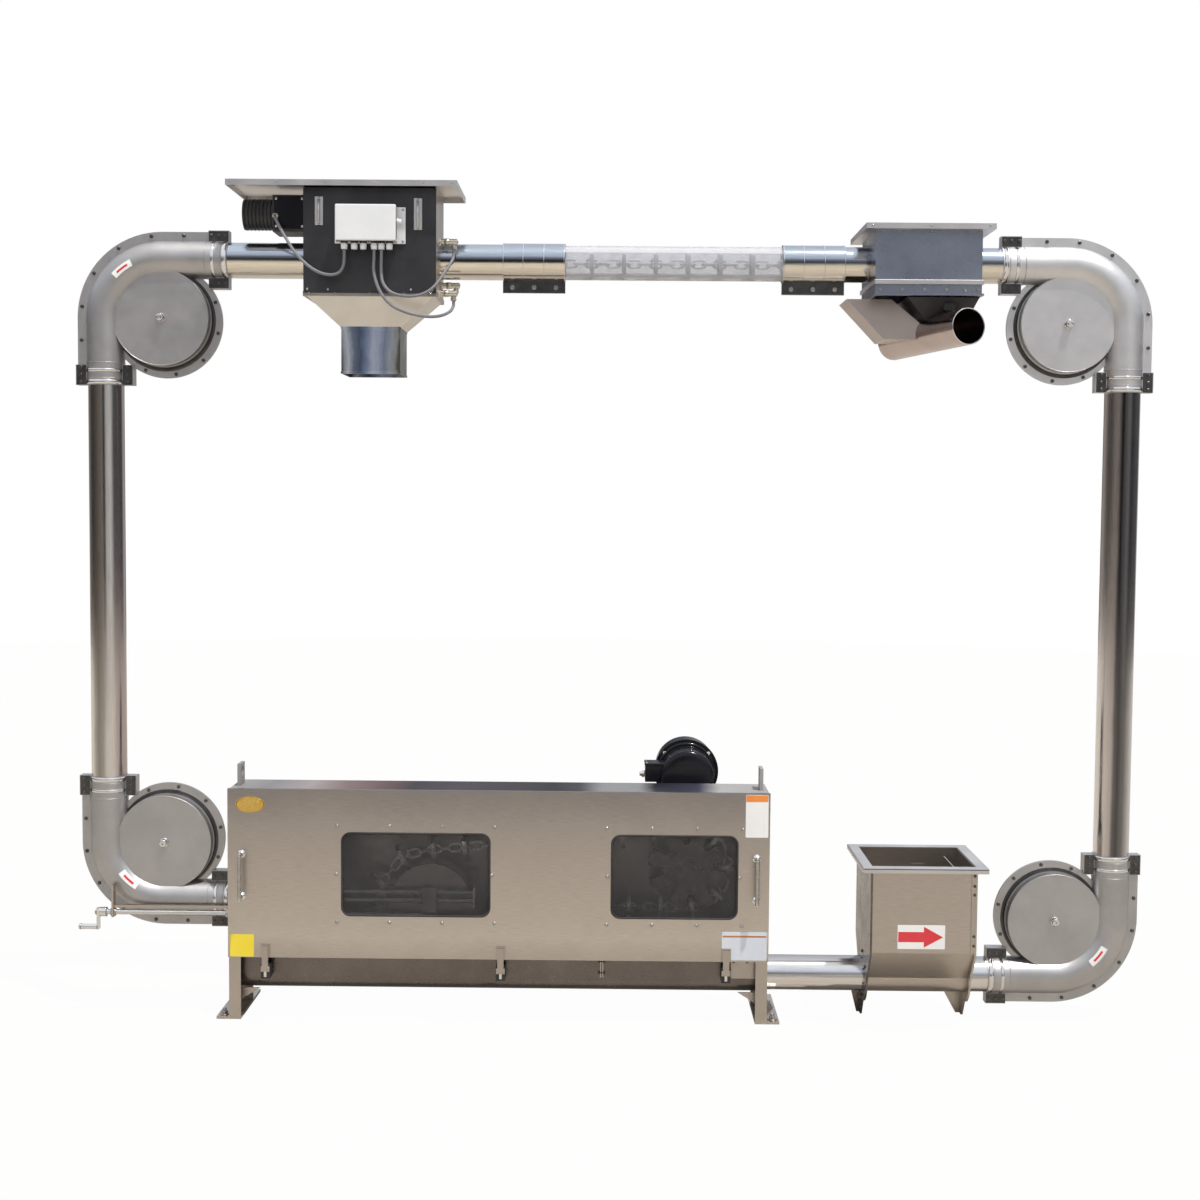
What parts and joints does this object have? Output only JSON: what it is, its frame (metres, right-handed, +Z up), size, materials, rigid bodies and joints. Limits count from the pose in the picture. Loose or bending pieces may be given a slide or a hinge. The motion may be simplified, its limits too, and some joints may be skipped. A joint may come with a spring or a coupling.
{
  "type": "chain disc conveyor",
  "caption": "Tubular chain disc conveyor loop with a windowed drive and tension box, feed hopper, two discharge boxes and round corner housings.",
  "frame": {"origin": "centre of the four anchor holes in the drive box feet, on the floor, in the middle plane of the tube loop", "axes": "+X to the right along the drive box towards the feed hopper, +Z up, +Y to the back of the machine"},
  "size_m": [3.181, 0.5774, 2.463],
  "materials": {
    "satin_steel": "satin stainless sheet",
    "polished_steel": "polished stainless tube",
    "blasted_steel": "bead blasted stainless",
    "chain_steel": "bright chain steel",
    "clear_plastic": "clear acrylic",
    "tinted_plastic": "dark tinted acrylic",
    "black_paint": "gloss black",
    "black_panel": "black coated sheet",
    "black_plastic": "black moulded housing",
    "grey_plastic": "light grey moulded box",
    "nickel": "nickel plated brass",
    "cable_sheath": "grey cable sheath"
  },
  "bodies": {
    "frame": {"drive_end_left": "satin_steel", "drive_end_right": "satin_steel", "drive_back_panel": "satin_steel", "drive_top_plate": "satin_steel", "drive_front_cover": "satin_steel", "cover_handles": "polished_steel", "cover_latches": "polished_steel", "cover_windows": "tinted_plastic", "drive_trough": "satin_steel", "drive_sprocket": "chain_steel", "tension_wheel": "satin_steel", "return_wheel": "satin_steel", "tension_rods": "polished_steel", "tension_frame": "satin_steel", "gear_unit": "black_paint", "drive_motor": "black_paint", "corner_tl_front": "blasted_steel", "corner_tl_back": "blasted_steel", "corner_tr_front": "blasted_steel", "corner_tr_back": "blasted_steel", "corner_bl_front": "blasted_steel", "corner_bl_back": "blasted_steel", "corner_br_front": "blasted_steel", "corner_br_back": "blasted_steel", "left_riser": "polished_steel", "right_riser": "polished_steel", "top_tube_left": "polished_steel", "top_tube_right": "polished_steel", "bottom_tube": "polished_steel", "sight_tube": "clear_plastic", "sight_clamps": "satin_steel", "sight_chain": "chain_steel", "drive_chain": "chain_steel", "gate_housing": "satin_steel", "gate_panel": "black_panel", "gate_lid": "satin_steel", "gate_funnel": "satin_steel", "gate_spout": "polished_steel", "gate_actuator": "black_plastic", "junction_box": "grey_plastic", "gate_sensors": "nickel", "cable_actuator": "cable_sheath", "cable_upper": "cable_sheath", "cable_lower": "cable_sheath", "outlet_box": "satin_steel", "outlet_lid": "satin_steel", "outlet_funnel": "black_panel", "outlet_chute": "satin_steel", "discharge_tube": "polished_steel", "hopper_body": "satin_steel", "hopper_rim": "satin_steel", "hopper_end_left": "satin_steel", "hopper_end_right": "satin_steel"},
    "crank": {"tension_crank": "polished_steel"}
  },
  "joints": [
    {"name": "tension_crank_turn", "type": "hinge", "parent": "frame", "child": "crank", "pos_m": [-1.19, -0.07, 0.315], "axis": [1, 0, 0], "continuous": true}
  ]
}
